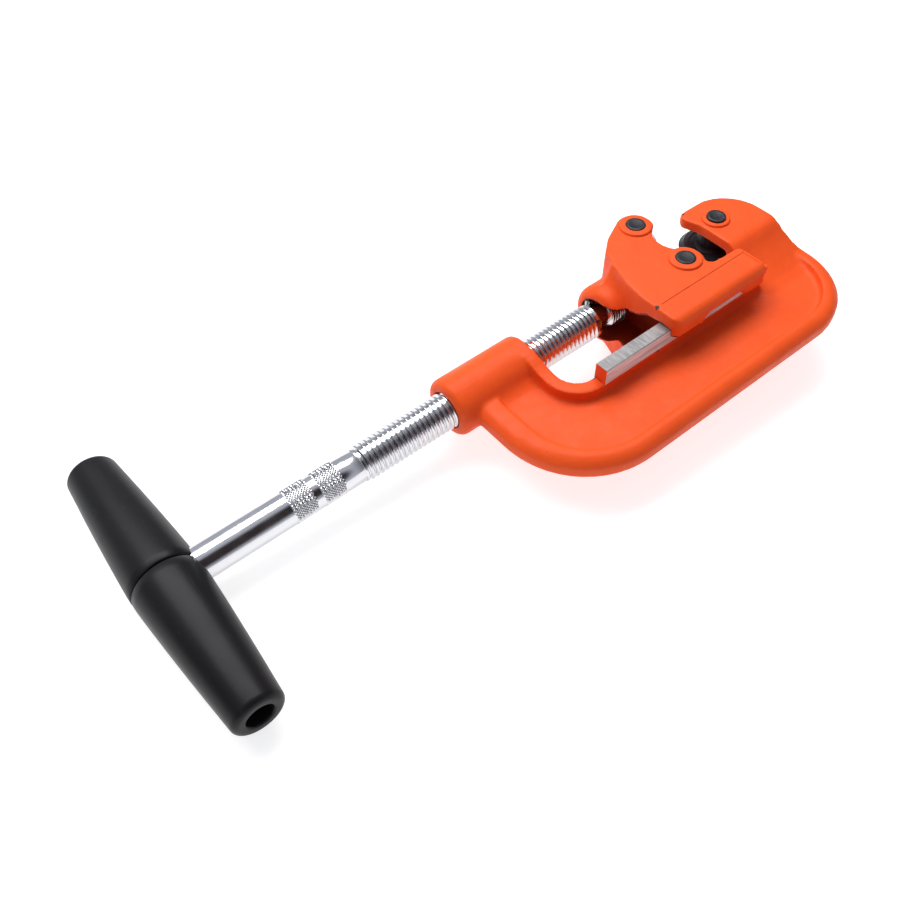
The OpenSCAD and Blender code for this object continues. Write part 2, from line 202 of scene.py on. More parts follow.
def rounded(corners, step=math.radians(7)):
    """An outline from (x, y, radius) corners, with an arc at each corner that has a radius."""
    points = []
    for i, (x, y, radius) in enumerate(corners):
        here = Vector((x, y))
        if not radius:
            points.append(here)
            continue
        back = (Vector(corners[i - 1][:2]) - here).normalized()
        ahead = (Vector(corners[(i + 1) % len(corners)][:2]) - here).normalized()
        half = back.angle(ahead) / 2
        centre = here + (back + ahead).normalized() * radius / math.sin(half)
        first = here + back * radius / math.tan(half) - centre
        last = here + ahead * radius / math.tan(half) - centre
        sweep = first.angle_signed(last)
        count = max(2, math.ceil(abs(sweep) / step))
        for k in range(count + 1):
            points.append(centre + Matrix.Rotation(-sweep * k / count, 2) @ first)
    return points


def arc(centre, radius, start, end, count):
    """Points along an arc, with its angles in degrees."""
    angles = [math.radians(start + (end - start) * k / count) for k in range(count + 1)]
    return [Vector((centre[0] + radius * math.cos(a), centre[1] + radius * math.sin(a))) for a in angles]


def prism(points, low, high, along="Z"):
    """A closed outline extruded between two heights along an axis: XY along Z, YZ along X or XZ along Y."""
    bm = bmesh.new()
    face = bm.faces.new([bm.verts.new((p[0], p[1], low)) for p in points])
    grown = bmesh.ops.extrude_face_region(bm, geom=[face])
    top = [v for v in grown["geom"] if isinstance(v, bmesh.types.BMVert)]
    bmesh.ops.translate(bm, verts=top, vec=(0, 0, high - low))
    turn = {
        "Z": Matrix.Identity(4),
        "X": Matrix(((0, 0, 1, 0), (1, 0, 0, 0), (0, 1, 0, 0), (0, 0, 0, 1))),
        "Y": Matrix(((1, 0, 0, 0), (0, 0, 1, 0), (0, 1, 0, 0), (0, 0, 0, 1))),
    }[along]
    bmesh.ops.transform(bm, matrix=turn, verts=bm.verts)
    bmesh.ops.recalc_face_normals(bm, faces=bm.faces)
    return bm


def block(low, high):
    """A box between two corners."""
    corners = [(low[0], low[1]), (high[0], low[1]), (high[0], high[1]), (low[0], high[1])]
    return prism(corners, low[2], high[2])


def turned(profile, axis="Z", centre=(0, 0, 0), steps=64):
    """A (distance along, radius) profile turned once round an axis through a centre."""
    bm = bmesh.new()
    verts = [bm.verts.new((radius, 0, along)) for along, radius in profile]
    edges = [bm.edges.new(pair) for pair in zip(verts, verts[1:])]
    if profile[0][1] and profile[-1][1]:
        edges.append(bm.edges.new((verts[-1], verts[0])))
    bmesh.ops.spin(
        bm, geom=verts + edges, cent=(0, 0, 0), axis=(0, 0, 1), angle=math.tau, steps=steps, use_merge=True
    )
    bmesh.ops.remove_doubles(bm, verts=bm.verts, dist=1e-4)
    turn = {
        "Z": Matrix.Identity(4),
        "X": Matrix.Rotation(math.pi / 2, 4, "Y"),
        "-Y": Matrix.Rotation(math.pi / 2, 4, "X"),
    }[axis]
    bmesh.ops.transform(bm, matrix=Matrix.Translation(centre) @ turn, verts=bm.verts)
    bmesh.ops.recalc_face_normals(bm, faces=bm.faces)
    return bm


def rounded_end(start, radius, edge):
    """The part of a turned profile that rounds a cylinder's near end."""
    angles = [math.radians(90 - 15 * step) for step in range(7)]
    return [(start + edge - edge * math.sin(a), radius - edge + edge * math.cos(a)) for a in angles]


def rod(radius, low, high, axis="Z", centre=(0, 0, 0), steps=64):
    """A plain round rod between two distances along its axis."""
    return turned([(low, 0), (low, radius), (high, radius), (high, 0)], axis, centre, steps)


def new_piece(name, bm):
    """An object made from a bmesh, which is freed."""
    mesh = bpy.data.meshes.new(name)
    bm.to_mesh(mesh)
    bm.free()
    piece = bpy.data.objects.new(name, mesh)
    bpy.context.scene.collection.objects.link(piece)
    return piece


def apply_modifiers(piece):
    """Bakes a piece's modifiers into its mesh."""
    graph = bpy.context.evaluated_depsgraph_get()
    baked = bpy.data.meshes.new_from_object(piece.evaluated_get(graph))
    old = piece.data
    piece.modifiers.clear()
    piece.data = baked
    bpy.data.meshes.remove(old)
    baked.materials.clear()
    baked.name = piece.name


def combine(piece, tool, operation):
    """Unites a piece with a shape, or cuts the shape from it."""
    other = new_piece("tool", tool)
    boolean = piece.modifiers.new("combine", "BOOLEAN")
    boolean.solver = "MANIFOLD"
    boolean.operation = operation
    boolean.object = other
    apply_modifiers(piece)
    mesh = other.data
    bpy.data.objects.remove(other)
    bpy.data.meshes.remove(mesh)


def unite(piece, *shapes):
    for shape in shapes:
        combine(piece, shape, "UNION")


def cut(piece, *shapes):
    for shape in shapes:
        combine(piece, shape, "DIFFERENCE")


def taken_shape(piece):
    """A piece's shape as a bmesh, once the piece itself is gone."""
    shape = bmesh.new()
    shape.from_mesh(piece.data)
    bpy.data.objects.remove(piece)
    return shape


def cast_skin(piece, voxel, passes):
    """Turns a piece's sharp edges and corners into the soft ones of a casting."""
    remesh = piece.modifiers.new("skin", "REMESH")
    remesh.mode = "VOXEL"
    remesh.voxel_size = voxel
    smooth = piece.modifiers.new("soften", "SMOOTH")
    smooth.factor = 0.5
    smooth.iterations = passes
    apply_modifiers(piece)


def shade(piece, angle=32):
    """Smooth shading with sharp edges where faces meet at more than an angle in degrees."""
    piece.data.polygons.foreach_set("use_smooth", [True] * len(piece.data.polygons))
    piece.data.set_sharp_from_angle(angle=math.radians(angle))


def finish_piece(piece, body, materials, replaced=()):
    """Scales a piece to metres, gives it its materials, parents it to its body and hides the CAD nodes it
    replaces.
    """
    piece.data.transform(Matrix.Scale(MM, 4))
    for material in materials:
        piece.data.materials.append(material)
    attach(piece, body)
    if replaced:
        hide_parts(*replaced)


def finish_nodes(nodes, material):
    """Gives a material to CAD nodes that are shown as they are."""
    for node in nodes:
        materials = frame["nodes"][node].data.materials
        materials.clear()
        materials.append(material)


def paint_faces(piece, index, test):
    """Gives a material index to the faces whose centre and normal pass a test."""
    for face in piece.data.polygons:
        if test(face.center, face.normal):
            face.material_index = index


# Finishes ------------------------------------------------------------------------------------------


class Finish:
    """A node material under construction."""

    def __init__(self, name):
        self.material = bpy.data.materials.new(name)
        self.material.use_nodes = True
        self.nodes = self.material.node_tree.nodes
        self.links = self.material.node_tree.links
        self.shader = self.nodes["Principled BSDF"]
        self.coords = self.nodes.new("ShaderNodeTexCoord").outputs["Object"]

    def link(self, source, target):
        """Links an output to an input, or sets a plain value on the input."""
        if isinstance(source, bpy.types.NodeSocket):
            self.links.new(source, target)
        else:
            target.default_value = source

    def noise(self, scale, detail=3.0, roughness=0.5, stretch=(1, 1, 1)):
        """Noise on Object coordinates, in cycles per metre."""
        mapping = self.nodes.new("ShaderNodeMapping")
        mapping.inputs["Scale"].default_value = stretch
        self.link(self.coords, mapping.inputs["Vector"])
        node = self.nodes.new("ShaderNodeTexNoise")
        self.link(mapping.outputs["Vector"], node.inputs["Vector"])
        node.inputs["Scale"].default_value = scale
        node.inputs["Detail"].default_value = detail
        node.inputs["Roughness"].default_value = roughness
        return node.outputs["Fac"]

    def geometry(self, output):
        """An output of the geometry node."""
        return self.nodes.new("ShaderNodeNewGeometry").outputs[output]

    def ramp(self, value, low, high, out_low=0.0, out_high=1.0):
        """Maps a value smoothly from one range to another."""
        node = self.nodes.new("ShaderNodeMapRange")
        node.interpolation_type = "SMOOTHSTEP"
        self.link(value, node.inputs["Value"])
        node.inputs["From Min"].default_value = low
        node.inputs["From Max"].default_value = high
        node.inputs["To Min"].default_value = out_low
        node.inputs["To Max"].default_value = out_high
        return node.outputs["Result"]

    def math(self, operation, a, b=0.0):
        node = self.nodes.new("ShaderNodeMath")
        node.operation = operation
        self.link(a, node.inputs[0])
        self.link(b, node.inputs[1])
        return node.outputs["Value"]

    def mix(self, factor, a, b):
        """A mix of two colours."""
        node = self.nodes.new("ShaderNodeMix")
        node.data_type = "RGBA"
        self.link(factor, node.inputs["Factor"])
        self.link(a, node.inputs["A"])
        self.link(b, node.inputs["B"])
        return node.outputs["Result"]

    def near(self, point, radius, ragged):
        """A ragged spot round a point in millimetres: 1 inside it and 0 outside."""
        place = self.nodes.new("ShaderNodeVectorMath")
        place.operation = "DISTANCE"
        self.link(self.coords, place.inputs[0])
        place.inputs[1].default_value = Vector(point) * MM
        shake = self.math("MULTIPLY", self.math("SUBTRACT", ragged, 0.5), 3.2 * radius * MM)
        distance = self.math("ADD", place.outputs["Value"], shake)
        return self.ramp(distance, radius * 1.1 * MM, radius * 0.9 * MM)

    def bump(self, height, distance, strength=1.0, normal=None):
        node = self.nodes.new("ShaderNodeBump")
        node.inputs["Distance"].default_value = distance
        node.inputs["Strength"].default_value = strength
        self.link(height, node.inputs["Height"])
        if normal:
            self.link(normal, node.inputs["Normal"])
        return node.outputs["Normal"]

    def done(self, **inputs):
        """Sets or links the shader's inputs, whose names have their spaces as underscores."""
        for name, value in inputs.items():
            if isinstance(value, tuple) and len(value) == 3:
                value = (*value, 1.0)
            self.link(value, self.shader.inputs[name.replace("_", " ")])
        return self.material


def solid(rgb):
    """A colour with its alpha."""
    return (*rgb, 1.0)


def enamel(finishes, name, chips, painted_shade_dim=(1.0, 1.0)):
    """Orange enamel over a cast surface, with pits and with chips round given (point, radius) places.

    painted_shade_dim scales down the paint's colour and its darker colour; below 1 it is painted shade.
    """
    f = Finish(name)
    paint = [c * painted_shade_dim[0] for c in finishes.paint]
    recess = [c * painted_shade_dim[1] for c in finishes.paint_shade]
    mottle = f.noise(38, 4, 0.6)
    colour = f.mix(f.ramp(mottle, 0.35, 0.7, 0.0, 0.16), solid(paint), solid(recess))
    pits = f.ramp(f.noise(520, 2, 0.6), 0.735, 0.76)
    sparse = f.ramp(f.noise(60, 2, 0.5), 0.56, 0.66)
    pits = f.math("MULTIPLY", pits, sparse)
    ragged = f.noise(1300, 4, 0.7, (1, 0.6, 1))
    chipped = 0.0
    for point, radius in chips:
        chipped = f.math("MAXIMUM", f.near(point, radius, ragged), chipped)
    bare = f.math("MAXIMUM", pits, chipped) if chips else pits
    colour = f.mix(bare, colour, solid(finishes.iron))
    # Darker in concave creases, where Pointiness is low.
    crease_darkening = f.ramp(f.geometry("Pointiness"), 0.485, 0.42, 0.0, 0.55)
    colour = f.mix(crease_darkening, colour, solid([c * 0.35 for c in recess]))
    rough = f.ramp(f.noise(160, 3, 0.5), 0.3, 0.7, 0.38, 0.5)
    rough = f.math("ADD", rough, f.math("MULTIPLY", bare, 0.3))
    sand = f.noise(900, 3, 0.6)
    orange_peel = f.noise(210, 2, 0.5)
    lumps = f.noise(70, 2, 0.5)
    normal = f.bump(lumps, 0.0011, 0.35)
    normal = f.bump(orange_peel, 0.0004, 0.5, normal)
    normal = f.bump(sand, 0.00012, 0.55, normal)
    normal = f.bump(f.math("SUBTRACT", 1.0, bare), 0.00012, 0.8, normal)
    return f.done(Base_Color=colour, Roughness=rough, Normal=normal, Specular_IOR_Level=0.14)


def milled_iron(finishes, name, stretch, bright=1.0, metallic=0.35, smoothness=0.42):
    """Bare machined iron, with cutter marks across the direction of stretch; bright scales its colour up as
    painted light.
    """
    f = Finish(name)
    marks = f.noise(1.0, 3, 0.6, stretch)
    stain = f.noise(90, 3, 0.55)
    low = [c * 0.75 * bright for c in finishes.milled]
    high = [min(1.0, c * 1.35 * bright) for c in finishes.milled]
    colour = f.mix(f.ramp(marks, 0.3, 0.7), solid(low), solid(high))
    colour = f.mix(f.ramp(stain, 0.55, 0.8, 0.0, 0.35), colour, solid(finishes.iron))
    rough = f.ramp(marks, 0.3, 0.7, smoothness, smoothness + 0.14)
    normal = f.bump(marks, 0.00012, 0.6)
    return f.done(
        Base_Color=colour, Metallic=metallic, Roughness=rough, Normal=normal, Specular_IOR_Level=0.35
    )


def chrome_plate(finishes, name):
    """Bright plating over turned steel, with faint draw marks and a little haze."""
    f = Finish(name)
    haze = f.noise(120, 3, 0.6)
    draw = f.noise(1.0, 3, 0.6, (60, 2600, 2600))
    wave = f.noise(34, 2, 0.5, (0.35, 1, 1))
    rough = f.ramp(haze, 0.35, 0.75, 0.12, 0.21)
    normal = f.bump(wave, 0.0009, 0.25)
    normal = f.bump(draw, 0.00003, 0.5, normal)
    return f.done(Base_Color=solid(finishes.chrome), Metallic=1.0, Roughness=rough, Normal=normal)


def turned_steel(finishes, name):
    """Plain turned steel with fine tool marks."""
    f = Finish(name)
    rings = f.noise(1.0, 2, 0.5, (300, 300, 5200))
    colour = f.mix(f.ramp(rings, 0.3, 0.7), solid(finishes.steel), solid([c * 1.3 for c in finishes.steel]))
    rough = f.ramp(f.noise(150, 3, 0.5), 0.3, 0.7, 0.24, 0.36)
    return f.done(Base_Color=colour, Metallic=1.0, Roughness=rough, Normal=f.bump(rings, 0.00004, 0.5))


def black_steel(finishes, name):
    """Blackened steel, worn a little on its faces."""
    f = Finish(name)
    wear = f.ramp(f.noise(700, 5, 0.65), 0.56, 0.72, 0.0, 0.35)
    colour = f.mix(wear, solid(finishes.black_steel), (0.14, 0.14, 0.15, 1.0))
    rough = f.ramp(f.noise(300, 3, 0.5), 0.3, 0.7, 0.36, 0.52)
    grain = f.bump(f.noise(1500, 3, 0.6), 0.00005, 0.7)
    return f.done(Base_Color=colour, Metallic=0.55, Roughness=rough, Normal=grain)


def grip_plastic(finishes, name):
    """Black moulded plastic with flow lines, fine scuffs and a dull sheen."""
    f = Finish(name)
    scuffs = f.ramp(f.noise(1.0, 4, 0.7, (900, 120, 900)), 0.6, 0.72)
    smear = f.noise(55, 3, 0.55, (1, 0.4, 1))
    colour = f.mix(f.math("MULTIPLY", scuffs, 0.10), solid(finishes.grip), (0.10, 0.10, 0.10, 1.0))
    rough = f.ramp(smear, 0.3, 0.7, 0.33, 0.43)
    rough = f.math("ADD", rough, f.math("MULTIPLY", scuffs, 0.10))
    normal = f.bump(f.noise(28, 2, 0.5, (1, 0.5, 1)), 0.0010, 0.25)
    normal = f.bump(f.noise(750, 2, 0.5), 0.00004, 0.4, normal)
    return f.done(Base_Color=colour, Roughness=rough, Normal=normal, Specular_IOR_Level=0.16)


# The castings --------------------------------------------------------------------------------------


def mouth_edge(size, grow, top):
    """The mouth's edge from beside the boss to the hook arm, drawn out by `grow`."""
    x0 = size.boss_l - grow
    y0 = -size.mouth_depth - grow
    radius = size.mouth_r + grow
    corner = arc((x0 + radius, y0 + radius), radius, 180, 270, 14)
    return [Vector((x0, top)), *corner, Vector((size.boss_l + size.mouth_l, y0))]


def casting_body(size):
    """The web, bead, band, boss and arm, united before the casting is softened."""
    left, right = size.left, FRAME_HIGH.x
    head = right - size.head_inset
    spine = FRAME_LOW.y
    end = size.boss_l + size.mouth_l
    outer = [
        (left, 1, 0),
        (left, spine, size.near_r),
        (right, spine, size.far_r),
        (right, -29, 9),
        (head, -15, 0),
    ]
    inner = mouth_edge(size, 0, 1)
    web = rounded(outer) + [Vector((end, -15))] + list(reversed(inner))
    piece = new_piece("frame_casting", prism(web, -size.web_t / 2, size.web_t / 2))

    wide = size.bead_w + 2.8
    slim = size.bead_w
    hollow = [
        (head - slim, 10, 0),
        (head - slim, -20, 0),
        (right - slim - 1, -33, 9),
        (right - slim, spine + slim, size.far_r - slim),
        (left + wide, spine + slim, size.near_r - wide),
        (left + wide, 10, 0),
    ]
    bead = prism(rounded([*outer[:4], (head, -20, 0)]), -size.bead_t / 2, size.bead_t / 2)
    rims = [e for e in bead.edges if abs(e.verts[0].co.z - e.verts[1].co.z) < 1e-6]
    bmesh.ops.bevel(
        bead, geom=rims, offset=5.2, segments=6, profile=0.5, affect="EDGES", material=-1, clamp_overlap=True
    )
    bead = new_piece("bead", bead)
    cut(bead, prism(rounded(hollow), -10, 10))
    unite(piece, taken_shape(bead))

    band_outline = mouth_edge(size, size.rail_t, -5) + list(reversed(mouth_edge(size, 0, -5)))
    half = size.band_t / 2
    unite(piece, prism(band_outline, -half, half))
    ramp = [(1, 12.6), (-5, 12.4), (-9, 11.4), (-13, 9.9), (-17, 8.9), (-22, half), (-26, half - 1)]
    ramp = prism(ramp + [(y, -z) for y, z in reversed(ramp)], size.left, size.boss_l + 40, "X")
    rise = new_piece("rise", prism(band_outline, -20, 20))
    combine(rise, ramp, "INTERSECT")
    unite(piece, taken_shape(rise))

    edge = 3.0
    end_curve = rounded_end(0, size.boss_r, edge)
    boss = turned([(0, 0), *end_curve, (size.boss_l, size.boss_r), (size.boss_l, 0)], "X")
    unite(piece, boss)

    fillet = 10.0
    fall = size.web_t / 2 + fillet
    out = -math.sqrt((size.boss_r + fillet) ** 2 - fall**2)
    reach = math.degrees(math.atan2(-fall, -out))
    curve = arc((out, fall), fillet, 270, 360 + reach, 8)
    fillet_outline = list(curve) + [Vector((p.x, -p.y)) for p in reversed(curve)]
    unite(piece, prism(fillet_outline, size.left + 3, size.boss_l - 1, "X"))

    # Arm and hook, drawn from above and cut to their side view
    top = size.head_top
    plan = [
        (end, -44, 0),
        (right - 3, -44, 0),
        (right - 3, -32, 10),
        (head, -18, 8),
        (head, top, 20.5),
        (end - 3.8, top, 4.4),
        (end + 0.2, 0.5, 2),
    ]
    thick = size.rail_h / 2
    side = [
        (FRAME_HIGH.y + 2, thick),
        (-14.5, thick),
        (-17, 15.6),
        (-19.2, 14.0),
        (-21.5, 12.0),
        (-24.5, 9.9),
        (-28, 7.9),
        (-32.5, 5.7),
        (-37, 3.9),
        (-42, 2.8),
    ]
    hook = new_piece("hook", prism(side + [(y, -z) for y, z in reversed(side)], end - 12, right + 2, "X"))
    combine(hook, prism(rounded(plan), -thick, thick), "INTERSECT")
    unite(piece, taken_shape(hook))

    slot = size.slot_t / 2
    cut(
        piece,
        rod(size.slot_r, -slot, slot, centre=WHEEL_AXIS),
        block((end - 20, -size.slot_r, -slot), (WHEEL_AXIS.x + 2, 40, slot)),
        block((WHEEL_AXIS.x, 0, -slot), (WHEEL_AXIS.x + size.slot_r, 40, slot)),
    )
    return piece


def ring_boss(centre, radius, low, high):
    """A low raised ring round a pin, standing out of both faces of a casting."""
    soft = [(0.0, 0.8), (0.06, 0.5), (0.22, 0.22), (0.5, 0.06), (0.8, 0.0)]
    edge = [(high - drop, radius - inset) for drop, inset in soft]
    profile = [(low, 0), (low, radius + 0.35), *reversed(edge), (high, 0)]
    return turned(profile, centre=centre), turned([(-z, r) for z, r in profile], centre=centre)


def build_frame_casting(size, finishes):
    """The C-frame: softened as cast, then machined along its rail and bored."""
    piece = casting_body(size)
    cast_skin(piece, 0.8, 9)
    pin = Vector((WHEEL_AXIS.x, 0, 0))
    unite(piece, *ring_boss(pin, 6.5, size.rail_h / 2 - 1, FRAME_HIGH.z))

    # Machined rail
    start = size.boss_l + size.rail_start
    end = size.boss_l + size.mouth_l + 1
    seat = end - 5.5  # the machining stops short of the far arm
    back = -size.mouth_depth - size.rail_t
    thick = size.rail_h / 2
    land = size.band_t / 2
    for side in (-1, 1):
        low, high = sorted((side * (land - 0.4), side * thick))
        rail = block((start, back, low), (seat, -size.mouth_depth, high))
        long_edges = [e for e in rail.edges if abs(e.verts[0].co.x - e.verts[1].co.x) > 1]
        bmesh.ops.bevel(
            rail, geom=long_edges, offset=0.3, segments=1, profile=0.5, affect="EDGES", material=-1
        )
        unite(piece, rail)
        low, high = sorted((side * (land - 0.4), side * (thick - 0.1)))
        unite(piece, block((seat - 0.5, back + 0.1, low), (end, -size.mouth_depth - 0.1, high)))
    notch = [(back - 1, 12.5), (back + 1.5, 12.2), (back, land + 0.3), (back - 1, land + 0.3)]
    for side in (-1, 1):
        cut(piece, prism([(y, side * z) for y, z in notch], start + 0.7, end, "X"))

    cut(
        piece,
        rod(8.15, -5, size.boss_l + 5, "X"),
        turned([(-3, 0), (-3, 9.7), (0.9, 8.15), (0.9, 0)], "X"),
        rod(3.6, -30, 30, centre=pin),
        rod(4.5, FRAME_HIGH.z - 1.6, FRAME_HIGH.z + 5, centre=pin),
    )
    shade(piece)

    def is_milled_top(centre, normal):
        on_rail = start + 0.3 < centre.x < seat - 1 and back - 0.4 < centre.y < -size.mouth_depth + 0.2
        return on_rail and abs(centre.z) > thick - 0.45 and abs(normal.z) > 0.6

    def is_milled_back(centre, normal):
        on_rail = start + 0.6 < centre.x < seat - 1 and back - 0.5 < centre.y < back + 1.6
        return on_rail and land - 0.3 < abs(centre.z) < thick - 0.1 and abs(normal.x) < 0.5

    def is_back_step(centre, normal):
        return is_milled_back(centre, normal) and abs(centre.z) > 12.4

    paint_faces(piece, 1, is_milled_top)
    paint_faces(piece, 2, is_milled_back)
    paint_faces(piece, 3, is_back_step)
    chips = [
        ((14, -57, 6.3), 0.7),
        ((21, -63, 6.6), 0.8),
        ((120, -70.5, 4), 0.9),
        ((150.5, 12, 15.5), 0.8),
        ((170, 13.5, 15.8), 0.7),
        ((84, -36.6, 8.0), 0.9),
        ((52.4, -30.4, 8.2), 0.75),
    ]
    materials = [
        enamel(finishes, "frame_enamel", chips),
        milled_iron(finishes, "rail_top_milling", (900, 160, 160)),
        # The sloped strip of the rail's back: plain grey, three times brighter and not metallic, a painted
        # reflection of the pale floor.
        milled_iron(finishes, "rail_back_painted_reflection", (40, 900, 1500), 3.0, 0.0, 0.5),
        milled_iron(finishes, "rail_step_milling", (40, 900, 1500), 1.1, 0.0, 0.5),
    ]
    finish_piece(piece, "frame", materials, ["frame"])
    return piece


def housing_body(size):
    """The housing's plates, block, barrel and lobes, hollowed out, before the casting is softened."""
    half = size.half_t
    roller = ROLLERS["near"]
    low_y, front = HOUSING_LOW.y, HOUSING_HIGH.x
    plan = [
        (88.8, low_y, 5),
        (front, low_y, 1.5),
        (front, -24.0, 2.0),
        (128.5, -23.4, 3.5),
        (125.5, -18, 0),
        (125.5, 18, 0),
        (116.4, 22.2, 0),
        (106, 17.2, 3),
        (98.4, 11.2, 3),
        (95.2, 4, 3),
        (90.6, -9, 4),
        (88.8, -20, 0),
    ]
    piece = new_piece("housing_casting", prism(rounded(plan), -half, half))
    unite(
        piece,
        *[rod(size.lobe_r, -half, half, centre=(axis.x, axis.y, 0)) for axis in ROLLERS.values()],
    )
    saddle = Vector((roller.x + size.saddle_r, 0, 0))
    cut(piece, rod(size.saddle_r, -half - 1, half + 1, centre=saddle))

    # Outer side of the slide block, rounded along its length
    side = rounded([(low_y, -half, 4), (40, -half, 0), (40, half, 0), (low_y, half, 4)])
    combine(piece, prism(side, 60, front + 20, "X"), "INTERSECT")

    # Barrel with its flare into the plates
    start = HOUSING_LOW.x
    lip = 4.6
    end_curve = rounded_end(start, size.barrel_r, lip)
    flare = [(4.4, 0), (6.4, 1.2), (8.2, 3.6), (9.8, 7.4), (10.6, 11)]
    flare = [(start + x, size.barrel_r + rise) for x, rise in flare]
    profile = [(start, 0), *end_curve, *flare, (start + 16, 24.5), (start + 16, 0)]
    barrel = new_piece("barrel", turned(profile, "X"))
    combine(barrel, block((start - 2, -23, -half), (start + 20, 4, half)), "INTERSECT")
    unite(piece, taken_shape(barrel))
    barrel_end = WASHER_HIGH.x + 3
    unite(piece, turned([(start, 0), *end_curve, (barrel_end, size.barrel_r), (barrel_end, 0)], "X"))
    return piece


def housing_hollows(size, frame_size):
    """The shapes cut from the housing as it is cast: the arch behind, the roller room and the rail's way."""
    start = HOUSING_LOW.x
    roller = ROLLERS["near"]
    rail = frame_size.rail_h / 2 + 0.3
    bearing = -frame_size.mouth_depth + 0.2
    arch = [(0, 8.7), (-9, 8.9), (-15, 10.0), (-20, 12.6), (-24, 15.2), (-30.5, rail)]
    arch = arch + [(y, -z) for y, z in reversed(arch)]
    room = size.cavity_half
    back = bearing - frame_size.rail_t - 0.4
    foot = 12.6
    relief = [(21, 2), (21.5, foot), (25, rail), (45, rail), (48, foot + 0.6), (52, foot + 0.2), (52, 2)]
    relief = [(start + x, z) for x, z in relief]
    shapes = [
        rod(size.bore_r, start - 2, WASHER_HIGH.x, "X"),
        prism(arch, start - 2, WASHER_HIGH.x + 6, "X"),
        block((roller.x - 7.5, roller.y - 1, -room), (roller.x + 60, 60, room)),
        block((roller.x + 2, bearing, -rail), (roller.x + 60, 60, rail)),
        block((start - 2, back, -rail), (start + 80, bearing, rail)),
        block((start - 2, HOUSING_LOW.y - 2, -foot), (start + 80, bearing, foot)),
        prism(relief, HOUSING_LOW.y - 2, back + 1, "Y"),
        prism([(x, -z) for x, z in relief], HOUSING_LOW.y - 2, back + 1, "Y"),
    ]
    shapes += [rod(11.3, -room, room, centre=(axis.x, axis.y, 0)) for axis in ROLLERS.values()]
    return shapes


def build_housing(size, frame_size, finishes):
    """The roller housing: softened as cast, then bored for its pins and cleared along the rail."""
    piece = housing_body(size)
    cut(piece, *housing_hollows(size, frame_size))
    cast_skin(piece, 0.62, 7)
    for axis in ROLLERS.values():
        centre = Vector((axis.x, axis.y, 0))
        unite(piece, *ring_boss(centre, size.ring_r, size.half_t - 1.2, HOUSING_HIGH.z))

    # Fine step line along the slide block
    line = 0.34
    deep = 0.22
    front = HOUSING_HIGH.x - 1.6
    for side in (-1, 1):
        low, high = sorted((side * (size.half_t - deep), side * (size.half_t + 3)))
        cut(
            piece,
            block((92, -size.panel_y - line, low), (front, -size.panel_y, high)),
            block((front - line, -38, low), (front, -size.panel_y - line / 2, high)),
        )
    for axis in ROLLERS.values():
        centre = (axis.x, axis.y, 0)
        cut(
            piece,
            rod(3.6, -40, 40, centre=centre),
            rod(4.5, HOUSING_HIGH.z - 2.1, HOUSING_HIGH.z + 5, centre=centre),
        )
    shade(piece)

    slide_back = -frame_size.mouth_depth - frame_size.rail_t + 0.6

    def is_inside(centre, normal):
        hidden = centre.x < 104 and centre.y < 9 and abs(centre.z) < 16.7
        faces_in = normal.z * centre.z < -0.1 * abs(centre.z)
        faces_handle = normal.x < -0.5 and centre.x > 93 and centre.y < 1
        return hidden and (faces_in or faces_handle)

    def is_in_relief(centre, normal):
        along = HOUSING_LOW.x + 20 < centre.x < HOUSING_LOW.x + 53
        return along and HOUSING_LOW.y + 0.9 < centre.y < slide_back and 11.5 < abs(centre.z) < 16.7

    # The inner faces of the hollow and of the relief slot take the dimmed enamel: painted shade.
    paint_faces(piece, 1, is_inside)
    paint_faces(piece, 1, is_in_relief)
    chips = [
        ((89.4, -27.5, 22.2), 0.9),
        ((91.0, -21, 22.2), 0.4),
        ((90, -24, 22.1), 0.35),
        ((94.5, 3, 21.3), 0.35),
    ]
    materials = [
        enamel(finishes, "housing_enamel", chips),
        enamel(finishes, "housing_inside_painted_shade", [], INSIDE_PAINTED_SHADE),
    ]
    finish_piece(piece, "slide", materials, ["roller_housing"])
    return piece


# The feed screw and its handle ---------------------------------------------------------------------


def knurl_height(turn, along, diamonds, rows):
    """Height of a diamond knurl, from 0 in its grooves to 1 on its points."""
    u = turn * diamonds + along * rows
    v = turn * diamonds - along * rows
    ridge_u = 1 - abs(2 * (u - math.floor(u)) - 1)
    ridge_v = 1 - abs(2 * (v - math.floor(v)) - 1)
    return min(1.0, 1.5 * min(ridge_u, ridge_v))


def knurled_band(size, start):
    """A closed sleeve with a diamond knurl on its outside."""
    rows_of_faces = 40
    steps = size.diamonds * 6
    rise = 0.12
    profile = [(start, size.rod_r - 0.5)]
    profile += [(start + size.knurl_l * k / rows_of_faces, size.rod_r) for k in range(rows_of_faces + 1)]
    profile += [(start + size.knurl_l, size.rod_r - 0.5)]
    band = turned([(start, 0), *profile, (start + size.knurl_l, 0)], "X", steps=steps)
    rows = size.diamonds * size.knurl_l / (math.tau * size.rod_r)
    for vert in band.verts:
        along = (vert.co.x - start) / size.knurl_l
        if math.hypot(vert.co.y, vert.co.z) < size.rod_r - 0.2:
            continue
        turn = math.atan2(vert.co.z, vert.co.y) / math.tau
        fade = min(1.0, 14 * along, 14 * (1 - along))
        height = knurl_height(turn, along, size.diamonds, rows) * size.knurl_depth - size.knurl_depth + rise
        radius = size.rod_r + height * fade
        scale = radius / math.hypot(vert.co.y, vert.co.z)
        vert.co.y *= scale
        vert.co.z *= scale
    return band


